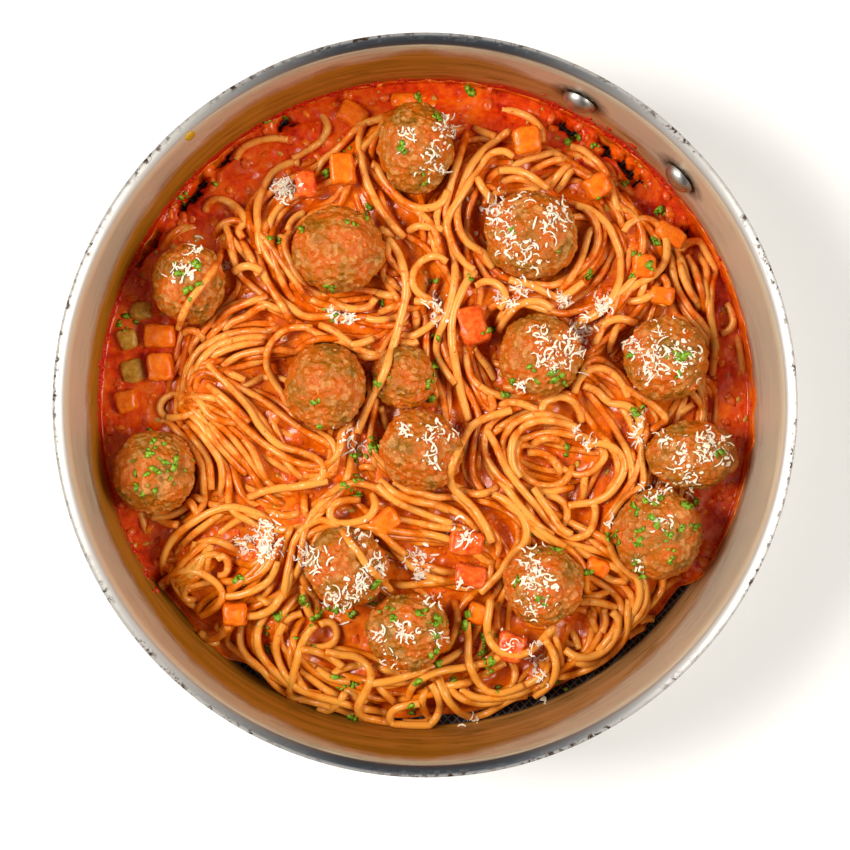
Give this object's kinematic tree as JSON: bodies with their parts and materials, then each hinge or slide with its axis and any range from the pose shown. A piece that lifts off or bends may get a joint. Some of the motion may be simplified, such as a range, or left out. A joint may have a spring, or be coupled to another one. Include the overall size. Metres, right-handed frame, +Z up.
{
  "type": "spaghetti and meatballs in a pan",
  "caption": "Round straight-sided steel pan with a flared rim, holding a heap of sauced spaghetti with meatballs, diced vegetables and grated cheese",
  "frame": {"origin": "on the table, under the middle of the pan's base", "axes": "+Z up; +Y is the upper side of the picture, which looks straight down; +X is its right side"},
  "size_m": [0.26, 0.26, 0.062],
  "materials": {
    "brushed_steel": "brushed inside and out, dark nonstick floor, sauce and burnt specks on it",
    "carrot": "wet cut carrot",
    "celery": "translucent cooked celery",
    "meatball": "rough browned mince under a thin glaze of sauce",
    "rivet_steel": "satin",
    "spaghetti": "cooked pasta coated in thin tomato sauce",
    "tomato": "wet chunk of tomato",
    "tomato_sauce": "wet, oily and lumpy"
  },
  "bodies": {
    "root": {"carrot_01": "carrot", "carrot_02": "carrot", "carrot_03": "carrot", "carrot_04": "carrot", "carrot_05": "carrot", "carrot_06": "carrot", "carrot_07": "carrot", "carrot_08": "carrot", "carrot_09": "carrot", "carrot_10": "carrot", "carrot_11": "carrot", "carrot_12": "carrot", "carrot_13": "carrot", "carrot_14": "carrot", "carrot_15": "carrot", "carrot_16": "carrot", "celery_01": "celery", "celery_02": "celery", "celery_03": "celery", "handle_bracket": "brushed_steel", "meatball_01": "meatball", "meatball_02": "meatball", "meatball_03": "meatball", "meatball_04": "meatball", "meatball_05": "meatball", "meatball_06": "meatball", "meatball_07": "meatball", "meatball_08": "meatball", "meatball_09": "meatball", "meatball_10": "meatball", "meatball_11": "meatball", "meatball_12": "meatball", "meatball_13": "meatball", "meatball_14": "meatball", "meatball_15": "meatball", "pan": "brushed_steel", "rivet_1": "rivet_steel", "rivet_2": "rivet_steel", "sauce": "tomato_sauce", "spaghetti": "spaghetti", "tomato_01": "tomato", "tomato_02": "tomato", "tomato_03": "tomato", "tomato_04": "tomato", "tomato_05": "tomato"}
  },
  "joints": []
}
